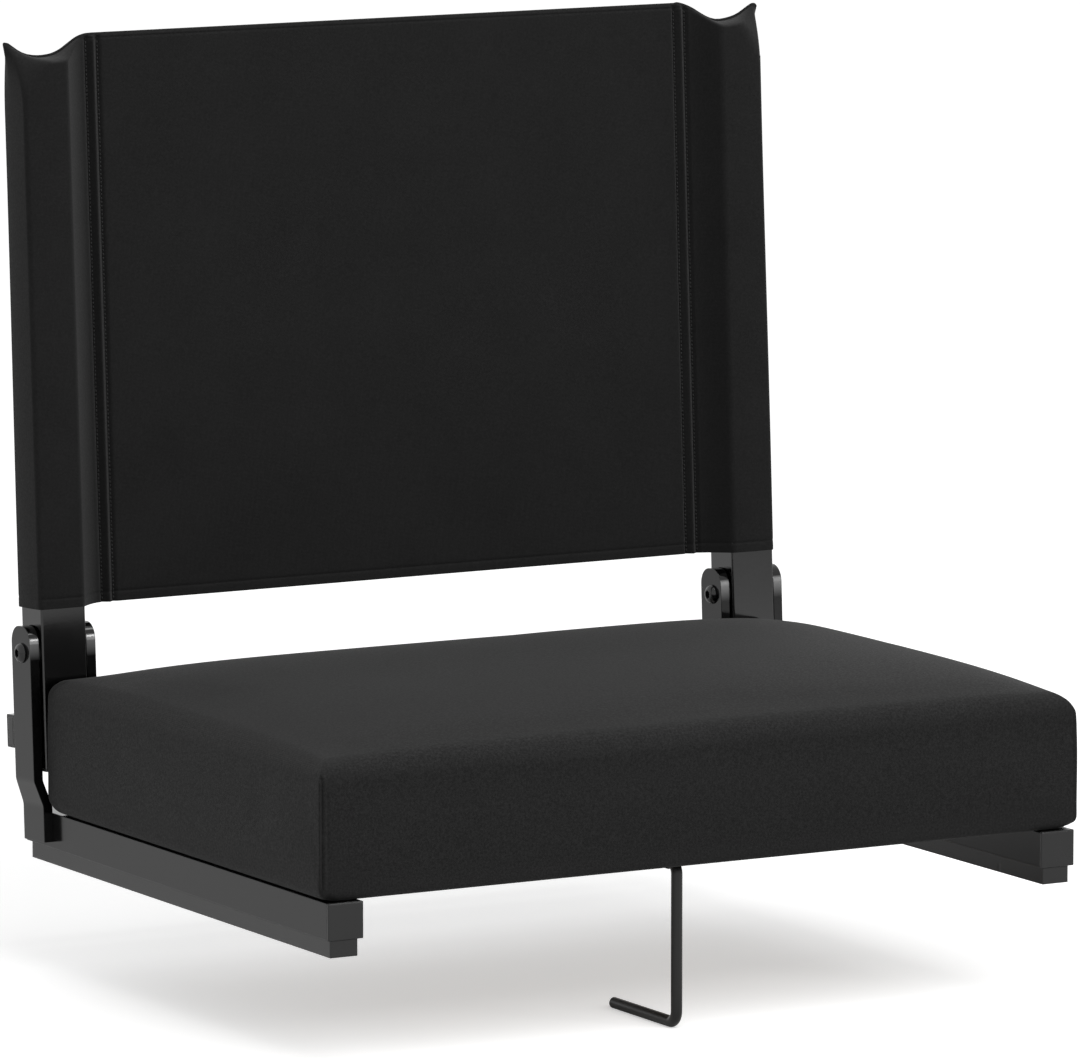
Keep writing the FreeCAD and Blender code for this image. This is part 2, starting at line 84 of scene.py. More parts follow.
def alongKeys(keys, value):
    # smooth curve through (place, height) keys
    if value <= keys[0][0]:
        return keys[0][1]
    if value >= keys[-1][0]:
        return keys[-1][1]
    last = len(keys) - 1
    i = max(k for k in range(last) if keys[k][0] <= value)
    slopes = []
    for k in (i, i + 1):
        a, b = max(k - 1, 0), min(k + 1, last)
        slopes.append((keys[b][1] - keys[a][1]) / (keys[b][0] - keys[a][0]))
    span = keys[i + 1][0] - keys[i][0]
    t = (value - keys[i][0]) / span
    return ((2 * t ** 3 - 3 * t ** 2 + 1) * keys[i][1] + (t ** 3 - 2 * t ** 2 + t) * span * slopes[0]
            + (3 * t ** 2 - 2 * t ** 3) * keys[i + 1][1] + (t ** 3 - t ** 2) * span * slopes[1])


# camera, floor and light

camera = {
    "place": (-2.3651, -4.1840, 0.9201),
    "aim": (0, -0.00046, 0.2289),
    "lens": 326.4,
    "sensor": 36,
    "farthest": 100,
}

studio = {
    "floorSize": 60,
    "floorSeen": (0.95, 0.95, 0.95, 1),       # as the camera and reflections see it
    "floorBounce": (0.40, 0.40, 0.40, 1),     # as it lights the object
    "floorLift": 0.45,                        # what a camera ray adds, so the lit floor is white
    "skyStrength": 0.60,
    "lightAim": (0, 0, 0.1),
    "keyPlace": (0.45, -0.55, 2.6),
    "keySize": 1.2,
    "keyPower": 26,
    "frontPlace": (1.15, -1.95, 1.15),
    "frontSize": 0.5,
    "frontPower": 5,
    "floorKeyPlace": (-0.15, -2.0, 2.2),      # the floor has its own key, so that its shadow lies further back
    "floorKeySize": 2.0,
    "floorKeyPower": 46,
}


def aimedAt(place, target):
    return (Vector(target) - Vector(place)).to_track_quat("-Z", "Y").to_euler()


def makeCamera():
    deselectAll()
    turn = aimedAt(camera["place"], camera["aim"])
    bpy.ops.object.camera_add(location=camera["place"], rotation=turn)
    view = bpy.context.object
    view.name = "photoCamera"
    view.data.sensor_fit = "HORIZONTAL"
    view.data.sensor_width = camera["sensor"]
    view.data.lens = camera["lens"]
    view.data.clip_end = camera["farthest"]
    bpy.context.scene.camera = view


def makeSoftBox(name, place, size, power):
    deselectAll()
    bpy.ops.object.light_add(type="AREA", location=place, rotation=aimedAt(place, studio["lightAim"]))
    box = bpy.context.object
    box.name = name
    box.data.shape = "SQUARE"
    box.data.size = size
    box.data.energy = power
    return box


def lightFloor(box, state):
    # state INCLUDE lights only the floor, EXCLUDE everything else
    deselectAll()
    bpy.data.objects["studioFloor"].select_set(True)
    box.select_set(True)
    bpy.context.view_layer.objects.active = box
    bpy.ops.object.light_linking_receivers_link(link_state=state)


def seenRays(nodes, links):
    # 1 for what the camera or a reflection sees
    path = nodes.new("ShaderNodeLightPath")
    seen = nodes.new("ShaderNodeMath")
    seen.operation = "MAXIMUM"
    links.new(path.outputs["Is Camera Ray"], seen.inputs[0])
    links.new(path.outputs["Is Glossy Ray"], seen.inputs[1])
    return path, seen


def whiteSky(nodes, strength):
    sky = nodes.new("ShaderNodeBackground")
    sky.inputs["Color"].default_value = (1, 1, 1, 1)
    sky.inputs["Strength"].default_value = strength
    return sky


def makeLight():
    key = makeSoftBox("keyBox", studio["keyPlace"], studio["keySize"], studio["keyPower"])
    floorKey = makeSoftBox("floorKeyBox", studio["floorKeyPlace"], studio["floorKeySize"],
                           studio["floorKeyPower"])
    lightFloor(key, "EXCLUDE")
    lightFloor(floorKey, "INCLUDE")
    makeSoftBox("frontBox", studio["frontPlace"], studio["frontSize"], studio["frontPower"])
    world = bpy.data.worlds.new("whiteStudio")
    bpy.context.scene.world = world
    world.use_nodes = True
    nodes, links = world.node_tree.nodes, world.node_tree.links
    nodes.clear()
    path, seen = seenRays(nodes, links)
    either = nodes.new("ShaderNodeMath")
    either.operation = "MAXIMUM"
    links.new(seen.outputs[0], either.inputs[0])
    links.new(path.outputs["Is Transmission Ray"], either.inputs[1])
    sky, white = whiteSky(nodes, studio["skyStrength"]), whiteSky(nodes, 1)
    mix = nodes.new("ShaderNodeMixShader")
    out = nodes.new("ShaderNodeOutputWorld")
    links.new(either.outputs[0], mix.inputs["Fac"])
    links.new(sky.outputs[0], mix.inputs[1])
    links.new(white.outputs[0], mix.inputs[2])
    links.new(mix.outputs[0], out.inputs["Surface"])


def makeFloor():
    deselectAll()
    bpy.ops.mesh.primitive_plane_add(size=studio["floorSize"], location=(0, 0, 0))
    floor = bpy.context.object
    floor.name = "studioFloor"
    surface = bpy.data.materials.new("paleFloor")
    surface.use_nodes = True
    nodes, links = surface.node_tree.nodes, surface.node_tree.links
    nodes.clear()
    path, seen = seenRays(nodes, links)
    bounce = nodes.new("ShaderNodeBsdfDiffuse")
    bounce.inputs["Color"].default_value = studio["floorBounce"]
    pale = nodes.new("ShaderNodeBsdfDiffuse")
    pale.inputs["Color"].default_value = studio["floorSeen"]
    lit = nodes.new("ShaderNodeMixShader")
    links.new(seen.outputs[0], lit.inputs["Fac"])
    links.new(bounce.outputs[0], lit.inputs[1])
    links.new(pale.outputs[0], lit.inputs[2])
    lift = nodes.new("ShaderNodeMath")
    lift.operation = "MULTIPLY"
    lift.inputs[1].default_value = studio["floorLift"]
    links.new(path.outputs["Is Camera Ray"], lift.inputs[0])
    glow = nodes.new("ShaderNodeEmission")
    links.new(lift.outputs[0], glow.inputs["Strength"])
    both = nodes.new("ShaderNodeAddShader")
    out = nodes.new("ShaderNodeOutputMaterial")
    links.new(lit.outputs[0], both.inputs[0])
    links.new(glow.outputs[0], both.inputs[1])
    links.new(both.outputs[0], out.inputs["Surface"])
    floor.data.materials.append(surface)


bpy.context.scene.view_settings.view_transform = "Standard"
makeCamera()
makeFloor()
makeLight()
print("camera, light and floor made")


# materials

def newFinish(name):
    finish = bpy.data.materials.new(name)
    finish.use_nodes = True
    nodes, links = finish.node_tree.nodes, finish.node_tree.links
    nodes.clear()
    shader = nodes.new("ShaderNodeBsdfPrincipled")
    out = nodes.new("ShaderNodeOutputMaterial")
    links.new(shader.outputs[0], out.inputs["Surface"])
    return finish, nodes, links, shader


def noise(nodes, links, where, scale, detail=2.0, roughness=0.5):
    texture = nodes.new("ShaderNodeTexNoise")
    texture.inputs["Scale"].default_value = scale
    texture.inputs["Detail"].default_value = detail
    texture.inputs["Roughness"].default_value = roughness
    links.new(where, texture.inputs["Vector"])
    return texture.outputs["Fac"]


def ramp(nodes, links, value, low, high, start=0.3, end=0.7):
    colours = nodes.new("ShaderNodeValToRGB")
    colours.color_ramp.elements[0].position = start
    colours.color_ramp.elements[0].color = low
    colours.color_ramp.elements[1].position = end
    colours.color_ramp.elements[1].color = high
    links.new(value, colours.inputs["Fac"])
    return colours.outputs["Color"]


def between(nodes, links, value, start, end, low=0, high=1):
    spread = nodes.new("ShaderNodeMapRange")
    spread.inputs["From Min"].default_value = start
    spread.inputs["From Max"].default_value = end
    spread.inputs["To Min"].default_value = low
    spread.inputs["To Max"].default_value = high
    links.new(value, spread.inputs["Value"])
    return spread.outputs["Result"]


def rangeOf(nodes, links, value, low, high):
    return between(nodes, links, value, 0.3, 0.7, low, high)


def bump(nodes, links, height, strength, distance, under=None):
    raised = nodes.new("ShaderNodeBump")
    raised.inputs["Strength"].default_value = strength
    raised.inputs["Distance"].default_value = distance
    links.new(height, raised.inputs["Height"])
    if under:
        links.new(under, raised.inputs["Normal"])
    return raised.outputs["Normal"]


def bands(nodes, links, where, direction, pitch):
    wave = nodes.new("ShaderNodeTexWave")
    wave.wave_type = "BANDS"
    wave.bands_direction = direction
    wave.inputs["Scale"].default_value = 2 * math.pi / (20 * pitch)
    wave.inputs["Distortion"].default_value = 0
    links.new(where, wave.inputs["Vector"])
    return wave.outputs["Fac"]


def softEdge(nodes, radius):
    # light catches the slight rounding of a hard edge
    rounded = nodes.new("ShaderNodeBevel")
    rounded.samples = 6
    rounded.inputs["Radius"].default_value = radius
    return rounded.outputs["Normal"]


def grey(value):
    return (value, value, value, 1)


clothDetail = {
    "fuzzScale": 900,
    "wornScale": 26,
    "smoothest": 0.72,
    "roughest": 0.95,
    "threadRise": 0.0004,
    "slub": 0.06,
    "slubRise": 0.0005,
}


def wovenCloth(name, look):
    # plain weave on the UV map, which is in metres on both covers
    finish, nodes, links, shader = newFinish(name)
    place = nodes.new("ShaderNodeTexCoord")
    flat = place.outputs["UV"]
    warp = bands(nodes, links, flat, "X", look["thread"])
    weft = bands(nodes, links, flat, "Y", look["thread"])
    weave = nodes.new("ShaderNodeMath")
    weave.operation = "MULTIPLY"
    links.new(warp, weave.inputs[0])
    links.new(weft, weave.inputs[1])
    fuzz = noise(nodes, links, place.outputs["Object"], clothDetail["fuzzScale"], 3)
    worn = noise(nodes, links, place.outputs["Object"], clothDetail["wornScale"], 4, 0.6)
    links.new(ramp(nodes, links, worn, grey(look["dark"]), grey(look["light"])), shader.inputs["Base Color"])
    matt = rangeOf(nodes, links, fuzz, clothDetail["smoothest"], clothDetail["roughest"])
    links.new(matt, shader.inputs["Roughness"])
    threads = bump(nodes, links, weave.outputs[0], look["weaveDepth"], clothDetail["threadRise"])
    slub = bump(nodes, links, fuzz, clothDetail["slub"], clothDetail["slubRise"], threads)
    links.new(slub, shader.inputs["Normal"])
    shader.inputs["Specular IOR Level"].default_value = look["specular"]
    shader.inputs["Sheen Weight"].default_value = look["sheen"]
    shader.inputs["Sheen Roughness"].default_value = look["sheenRoughness"]
    shader.inputs["Sheen Tint"].default_value = (1, 1, 1, 1)
    return finish


def mixColours(nodes, links, share, colour, other):
    mix = nodes.new("ShaderNodeMix")
    mix.data_type = "RGBA"
    links.new(share, mix.inputs[0])
    links.new(colour, mix.inputs[6])
    mix.inputs[7].default_value = other
    return mix.outputs[2]


def paintedGlintFront(nodes, links, shader, colour, look):
    # painted highlight: the narrow front edges get bright metal, most of all near the top, where the glints fall
    place = nodes.new("ShaderNodeTexCoord")
    facing, height = nodes.new("ShaderNodeSeparateXYZ"), nodes.new("ShaderNodeSeparateXYZ")
    links.new(place.outputs["Normal"], facing.inputs[0])
    links.new(place.outputs["Object"], height.inputs[0])
    share = nodes.new("ShaderNodeMath")
    share.operation = "MULTIPLY"
    links.new(between(nodes, links, facing.outputs["Y"], look["frontFrom"], look["frontTo"]), share.inputs[0])
    links.new(between(nodes, links, height.outputs["Z"], look["paintedGlintFrom"], look["paintedGlintTo"], look["paintedGlintLow"]),
              share.inputs[1])
    links.new(share.outputs[0], shader.inputs["Metallic"])
    return mixColours(nodes, links, share.outputs[0], colour, grey(look["paintedGlint"]))


paintDetail = {"cloudScale": 34, "peelRise": 0.0003}


def glossBlack(name, look):
    finish, nodes, links, shader = newFinish(name)
    place = nodes.new("ShaderNodeTexCoord").outputs["Object"]
    cloud = noise(nodes, links, place, paintDetail["cloudScale"], 4, 0.6)
    grain = noise(nodes, links, place, look["grain"], 2)
    colour = ramp(nodes, links, cloud, grey(look["dark"]), grey(look["light"]))
    # painted highlight of bright metal on the front edges, for the looks that have one
    if "paintedGlint" in look:
        colour = paintedGlintFront(nodes, links, shader, colour, look)
    links.new(colour, shader.inputs["Base Color"])
    links.new(rangeOf(nodes, links, cloud, look["smooth"], look["rough"]), shader.inputs["Roughness"])
    under = softEdge(nodes, look["edge"]) if "edge" in look else None
    peel = bump(nodes, links, grain, look["peel"], paintDetail["peelRise"], under)
    links.new(peel, shader.inputs["Normal"])
    shader.inputs["IOR"].default_value = look["ior"]
    return finish


def plywoodGrain(name, look):
    finish, nodes, links, shader = newFinish(name)
    place = nodes.new("ShaderNodeTexCoord").outputs["Object"]
    turned = nodes.new("ShaderNodeMapping")
    turned.inputs["Scale"].default_value = look["stretch"]
    links.new(place, turned.inputs["Vector"])
    figure = noise(nodes, links, turned.outputs[0], look["figureScale"], 6, 0.62)
    pores = noise(nodes, links, turned.outputs[0], look["poreScale"], 3, 0.7)
    # the cushion's black cloth is turned over the board's edges
    facing = nodes.new("ShaderNodeSeparateXYZ")
    links.new(nodes.new("ShaderNodeTexCoord").outputs["Normal"], facing.inputs[0])
    flat = nodes.new("ShaderNodeMath")
    flat.operation = "ABSOLUTE"
    links.new(facing.outputs["Z"], flat.inputs[0])
    wrapped = between(nodes, links, flat.outputs[0], look["wrapFrom"], look["wrapTo"])
    colour = ramp(nodes, links, figure, look["dark"], look["light"], 0.25, 0.75)
    links.new(mixColours(nodes, links, wrapped, colour, grey(look["wrap"])), shader.inputs["Base Color"])
    links.new(rangeOf(nodes, links, pores, look["smooth"], look["rough"]), shader.inputs["Roughness"])
    links.new(bump(nodes, links, pores, look["pores"], look["poreRise"]), shader.inputs["Normal"])
    return finish


finishes = {
    "seatCloth": wovenCloth("blackSeatCloth", {
        "thread": 0.0008, "weaveDepth": 0.16, "dark": 0.0040, "light": 0.0058,
        "specular": 0.32, "sheen": 0.045, "sheenRoughness": 0.5}),
    "backCloth": wovenCloth("blackBackCloth", {
        "thread": 0.0007, "weaveDepth": 0.16, "dark": 0.0095, "light": 0.0122,
        "specular": 0.15, "sheen": 0.095, "sheenRoughness": 0.5}),
    "thread": glossBlack("blackThread", {
        "grain": 2600, "peel": 0.4, "dark": 0.010, "light": 0.016, "smooth": 0.5, "rough": 0.65, "ior": 1.38}),
    "paint": glossBlack("glossBlackPaint", {
        "grain": 520, "peel": 0.03, "dark": 0.0015, "light": 0.003, "smooth": 0.14, "rough": 0.19, "ior": 1.41,
        "edge": 0.0007}),
    "tubePaint": glossBlack("glossBlackTube", {
        "grain": 520, "peel": 0.02, "dark": 0.0012, "light": 0.0022, "smooth": 0.08, "rough": 0.12, "ior": 1.64,
        "edge": 0.0007}),
    # the ears' paint carries a painted highlight of bright metal on its front edges, strongest near their tops
    "earPaint": glossBlack("glintPaintedBlackPaint", {
        "grain": 520, "peel": 0.02, "dark": 0.0015, "light": 0.003, "smooth": 0.07, "rough": 0.11, "ior": 1.43,
        "edge": 0.0005, "paintedGlint": 0.85, "paintedGlintLow": 0.0, "paintedGlintFrom": 0.162, "paintedGlintTo": 0.187,
        "frontFrom": -0.90, "frontTo": -0.98}),
    "rod": glossBlack("glossBlackRod", {
        "grain": 700, "peel": 0.05, "dark": 0.004, "light": 0.007, "smooth": 0.30, "rough": 0.40, "ior": 1.45}),
    "plastic": glossBlack("mouldedBlackPlastic", {
        "grain": 1500, "peel": 0.12, "dark": 0.004, "light": 0.007, "smooth": 0.20, "rough": 0.28, "ior": 1.48,
        "edge": 0.0014}),
    "fastener": glossBlack("blackedSteel", {
        "grain": 1100, "peel": 0.05, "dark": 0.003, "light": 0.006, "smooth": 0.16, "rough": 0.24, "ior": 1.5,
        "edge": 0.0003}),
    "nylon": glossBlack("blackNylon", {
        "grain": 1800, "peel": 0.2, "dark": 0.008, "light": 0.013, "smooth": 0.42, "rough": 0.55, "ior": 1.5}),
    "plywood": plywoodGrain("birchPlywood", {
        "dark": (0.30, 0.205, 0.12, 1), "light": (0.42, 0.295, 0.18, 1), "wrap": 0.006,
        "wrapFrom": 0.8, "wrapTo": 0.5, "stretch": (1.2, 14, 40), "figureScale": 9, "poreScale": 60,
        "smooth": 0.55, "rough": 0.75, "pores": 0.25, "poreRise": 0.0004}),
}
slotFinish = {
    "black_frame": "paint", "black_rod": "rod", "black_fastener": "fastener", "black_plastic": "plastic",
    "nylon": "nylon", "plywood": "plywood",
}
ownPaint = {"ear": "earPaint", "upright": "tubePaint"}      # by the last word of the node's name


def finishNodes():
    for name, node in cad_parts.items():
        for place in node.material_slots:
            finish = slotFinish.get(place.material.name) if place.material else None
            if finish == "paint":
                finish = ownPaint.get(name.split("_")[-1], finish)
            if finish:
                place.material = finishes[finish]


finishNodes()
print("materials made")


# seat cushion

cushion = {
    "halfWidth": 0.21355,
    "shift": 0.00095,          # it lies this much to the right
    "front": -0.16389,
    "rear": 0.12460,
    "foot": 0.0854,
    "rim": 0.1527,             # where the top edge's rounding ends
    "crown": 0.0151,
    "widthFullness": 6.5,
    "depthFullness": 3.0,
    "band": 0.0105,            # width of the closely cut band beside each edge
    "topRound": 0.0105,
    "rearTopRound": 0.0038,
    "footRound": 0.0026,
    "rearFootRound": 0.0135,
    "sideFootRound": 0.0062,
    "sideLift": 0.0006,        # of the foot's side edges off the runners
    "frontCorner": 26.0,       # powers of the corners' curves, higher is crisper
    "rearCorner": 14.0,
    "widest": 0.032,           # height of the widest level above the foot
    "footDraw": 0.0010,
    "topDraw": 0.0006,
    "rightTopDraw": 0.0026,
    "grid": 0.0085,
    "edgeCuts": 8,
    "startInset": 0.0005,      # the simulation starts this much smaller
    "pressure": 4.0,
    "cap": 0.0009,
    "edgeCap": 0.3,            # share of the cap left at the edges
    "seamDepth": 0.0008,
    "leftSeam": 0.0024,        # from the corner's edge
    "rightSeam": 0.0009,
    "seamTop": 0.1470,
    "seamWidth": 0.0006,
    "seamRidge": 0.0015,       # from the seam, and its share of the depth
    "ridgeShare": 0.2,
    "seamRow": 0.0030,
    "rowShare": 0.35,
    "seamSlant": 0.35,
    "seamFront": 0.006,        # where the seam is sewn, from the front and from the side
    "seamReach": 0.012,
    "edgeEnd": 0.006,          # the edges' share fades between these two
    "edgeStart": 0.030,
    "topEdgeEnd": 0.012,
    "topEdgeStart": 0.035,
    "heldTo": 0.004,           # above the foot
    "freeFrom": 0.016,
    "insetFrom": 0.02,
    "liftFade": 0.012,
    "underside": 0.001,
    "boardStep": 0.003,        # depth of the opening that shows the board
    "openX": 0.1834,
    "openFront": -0.13469,
    "openRear": 0.09412,
}


def cutPlaces(low, high, shape):
    # grid lines: close in the bands beside both edges, wide between them
    band = shape["band"]
    places = [low + band * k / shape["edgeCuts"] for k in range(1, shape["edgeCuts"] + 1)]
    places += [high - band * k / shape["edgeCuts"] for k in range(1, shape["edgeCuts"] + 1)]
    count = max(1, round((high - low - 2 * band) / shape["grid"]))
    return places + [low + band + (high - low - 2 * band) * k / count for k in range(1, count)]


def roundedPair(radius, inset, depth):
    # moves a point of a square edge on to a quarter circle
    across, up = max(radius - inset, 0), max(radius - depth, 0)
    if across <= 0 or up <= 0:
        return inset, depth
    share = max(across, up) / math.hypot(across, up)
    return radius - across * share, radius - up * share


def cushionPoint(point, shape):
    halfX, band = shape["halfWidth"], shape["band"]
    middleY = (shape["front"] + shape["rear"]) / 2
    halfY = (shape["rear"] - shape["front"]) / 2
    x, y, z = point.x, point.y - middleY, point.z
    sideX, sideY = math.copysign(1, x), math.copysign(1, y)
    power = shape["frontCorner"] if y < 0 else shape["rearCorner"]
    overX, overY = max(abs(x) - (halfX - band), 0), max(abs(y) - (halfY - band), 0)
    widest = max(overX, overY)
    if overX > 0 and overY > 0:
        share = widest / (overX ** power + overY ** power) ** (1 / power)
        overX, overY = overX * share, overY * share
    inset = band - widest
    isTop = z > (shape["foot"] + shape["rim"]) / 2
    toRear = overY / (overX + overY) if y > 0 and widest > 0 else 0
    toSide = overX / (overX + overY) if widest > 0 else 0
    near, far = ("topRound", "rearTopRound") if isTop else ("footRound", "rearFootRound")
    radius = shape[near] + (shape[far] - shape[near]) * smoothStep(0.3, 0.8, toRear)
    if not isTop:
        radius += (shape["sideFootRound"] - shape["footRound"]) * smoothStep(0.05, 0.5, toSide)
    depth = shape["rim"] - z if isTop else z - shape["foot"]
    newInset, newDepth = roundedPair(radius, inset, depth) if widest > 0 else (inset, depth)
    if widest > 1e-9:
        share = (band - newInset) / widest
        overX, overY = overX * share, overY * share
    x = sideX * (min(abs(x), halfX - band) + overX)
    y = sideY * (min(abs(y), halfY - band) + overY)
    z = shape["rim"] - newDepth if isTop else shape["foot"] + newDepth
    if not isTop:
        z += shape["sideLift"] * smoothStep(band, 0, band - overX) * smoothStep(shape["liftFade"], 0, newDepth)
    # sides lean in below and above their widest level
    above = z - shape["foot"] - shape["widest"]
    if above < 0:
        draw = shape["footDraw"] * (above / shape["widest"]) ** 2
    else:
        top = shape["rightTopDraw"] if x > 0 else shape["topDraw"]
        draw = top * (above / (shape["rim"] - shape["foot"] - shape["widest"])) ** 2
    x *= (halfX - draw) / halfX
    y *= (halfY - min(draw, shape["topDraw"])) / halfY
    u, v = min(abs(x) / halfX, 1), min(abs(y) / halfY, 1)
    full = (1 - u ** shape["widthFullness"]) * (1 - v ** shape["depthFullness"])
    z += shape["crown"] * full * smoothStep(band, 0, newDepth) if isTop else 0
    return Vector((x, y + middleY, z))


def edgeShare(point, shape):
    # 1 at the cushion's edges and corners, 0 in the middle of its faces
    start, end = shape["edgeStart"], shape["edgeEnd"]
    nearSide = smoothStep(shape["halfWidth"] - start, shape["halfWidth"] - end, abs(point.x))
    nearEnd = max(smoothStep(shape["front"] + start, shape["front"] + end, point.y),
                  smoothStep(shape["rear"] - start, shape["rear"] - end, point.y))
    nearTop = smoothStep(shape["rim"] - shape["topEdgeStart"], shape["rim"] - shape["topEdgeEnd"], point.z)
    return max(nearSide * nearEnd, nearSide * nearTop, nearEnd * nearTop)


def inflate(piece, shape):
    # foam pressing on the cloth; the foot stays on the board
    start = [vertex.co.copy() for vertex in piece.data.vertices]
    held = piece.vertex_groups.new(name="held")
    low, high = shape["foot"] + shape["heldTo"], shape["foot"] + shape["freeFrom"]
    for vertex in piece.data.vertices:
        held.add([vertex.index], 1 - smoothStep(low, high, vertex.co.z), "REPLACE")
    workOn(piece)
    cloth = piece.modifiers.new("Cloth", "CLOTH")
    cloth.settings.quality = 6
    cloth.settings.mass = 0.3
    cloth.settings.tension_stiffness = 40
    cloth.settings.compression_stiffness = 40
    cloth.settings.shear_stiffness = 20
    cloth.settings.bending_stiffness = 2
    cloth.settings.use_pressure = True
    cloth.settings.uniform_pressure_force = shape["pressure"]
    cloth.settings.vertex_group_mass = "held"
    cloth.settings.effector_weights.gravity = 0
    cloth.collision_settings.use_collision = False
    cloth.point_cache.frame_start = 1
    cloth.point_cache.frame_end = 20
    for step in range(1, 21):
        bpy.context.scene.frame_set(step)
    bpy.ops.object.modifier_apply(modifier=cloth.name)
    bpy.context.scene.frame_set(1)
    furthest = 0
    for vertex, before in zip(piece.data.vertices, start):
        move = vertex.co - before
        furthest = max(furthest, move.length)
        cap = shape["cap"] * (1 - (1 - shape["edgeCap"]) * edgeShare(before, shape))
        if move.length > cap:
            vertex.co = before + move * (cap / move.length)
    piece.vertex_groups.clear()
    print("cushion inflated, furthest move %.1f mm" % (furthest * 1000))


def makeCushion():
    deselectAll()
    depth, height = cushion["rear"] - cushion["front"], cushion["rim"] - cushion["foot"]
    middle = (0, (cushion["rear"] + cushion["front"]) / 2, (cushion["rim"] + cushion["foot"]) / 2)
    bpy.ops.mesh.primitive_cube_add(size=1, location=middle, scale=(2 * cushion["halfWidth"], depth, height))
    piece = bpy.context.object
    piece.name = "seatCushion"
    bpy.ops.object.transform_apply(location=True, rotation=True, scale=True)
    bpy.ops.object.mode_set(mode="EDIT")
    spans = (
        ((1, 0, 0), -cushion["halfWidth"], cushion["halfWidth"]),
        ((0, 1, 0), cushion["front"], cushion["rear"]),
        ((0, 0, 1), cushion["foot"], cushion["rim"]),
    )
    for across, low, high in spans:
        for place in cutPlaces(low, high, cushion):
            bpy.ops.mesh.select_all(action="SELECT")
            bpy.ops.mesh.bisect(plane_co=Vector(across) * place, plane_no=across)
    bpy.ops.object.mode_set(mode="OBJECT")
    for vertex in piece.data.vertices:
        vertex.co = cushionPoint(vertex.co, cushion)
    piece.data.update()
    normals = [vertex.normal.copy() for vertex in piece.data.vertices]
    low, high = cushion["foot"] + cushion["heldTo"], cushion["foot"] + cushion["insetFrom"]
    for vertex, normal in zip(piece.data.vertices, normals):
        vertex.co -= normal * cushion["startInset"] * smoothStep(low, high, vertex.co.z)
    inflate(piece, cushion)
    applyModifier(piece, "SUBSURF", levels=1, render_levels=1)
    sewCorners(piece)
    openUnderside(piece)
    workOn(piece)
    bpy.ops.object.mode_set(mode="EDIT")
    bpy.ops.mesh.select_all(action="SELECT")
    bpy.ops.uv.cube_project(cube_size=1)
    bpy.ops.object.mode_set(mode="OBJECT")
    bpy.ops.object.shade_smooth_by_angle(angle=math.radians(55))
    piece.data.materials.clear()
    piece.data.materials.append(finishes["seatCloth"])
    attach(piece, "base")
    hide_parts("seat_cover", "seat_foam")
    print("seat cushion made,", len(piece.data.polygons), "faces")
    return piece


def sewCorners(piece):
    # the seam down each front corner: a groove, a ridge and a shallower row beside it
    edge, width = cushion["halfWidth"], cushion["seamWidth"]
    for vertex in piece.data.vertices:
        point = vertex.co
        if point.y > cushion["front"] + cushion["seamFront"] or abs(point.x) < edge - cushion["seamReach"]:
            continue
        fromSeam = edge - abs(point.x) - (cushion["leftSeam"] if point.x < 0 else cushion["rightSeam"])
        tall = smoothStep(cushion["foot"], cushion["foot"] + 0.004, point.z)
        tall *= 1 - smoothStep(cushion["seamTop"] - 0.003, cushion["seamTop"] + 0.002, point.z)
        sink = hump(fromSeam, 0, width) - cushion["ridgeShare"] * hump(fromSeam, cushion["seamRidge"], width)
        sink += cushion["rowShare"] * hump(fromSeam, cushion["seamRow"], width)
        inward = Vector((-math.copysign(cushion["seamSlant"], point.x), 1, 0)).normalized()
        vertex.co = point + inward * (cushion["seamDepth"] * sink * tall)
    workOn(piece)
    bpy.ops.object.mode_set(mode="EDIT")
    bpy.ops.mesh.select_all(action="SELECT")
    bpy.ops.transform.translate(value=(cushion["shift"], 0, 0))
    bpy.ops.object.mode_set(mode="OBJECT")


def openUnderside(piece):
    # the cloth is turned under by a margin, and the board shows inside it
    workOn(piece)
    bpy.ops.object.mode_set(mode="EDIT")
    low = cushion["foot"] + cushion["underside"]
    cuts = (
        ((cushion["openX"], 0, 0), (1, 0, 0)), ((-cushion["openX"], 0, 0), (1, 0, 0)),
        ((0, cushion["openFront"], 0), (0, 1, 0)), ((0, cushion["openRear"], 0), (0, 1, 0)),
    )
    for place, across in cuts:
        selectFaces(piece, lambda middle, normal: middle.z < low)
        bpy.ops.mesh.bisect(plane_co=place, plane_no=across)
    selectFaces(piece, lambda middle, normal: middle.z < low and abs(middle.x) < cushion["openX"]
                and cushion["openFront"] < middle.y < cushion["openRear"])
    bpy.ops.mesh.extrude_region_move(TRANSFORM_OT_translate={"value": (0, 0, cushion["boardStep"])})
    bpy.ops.object.mode_set(mode="OBJECT")


makeCushion()


# back cover

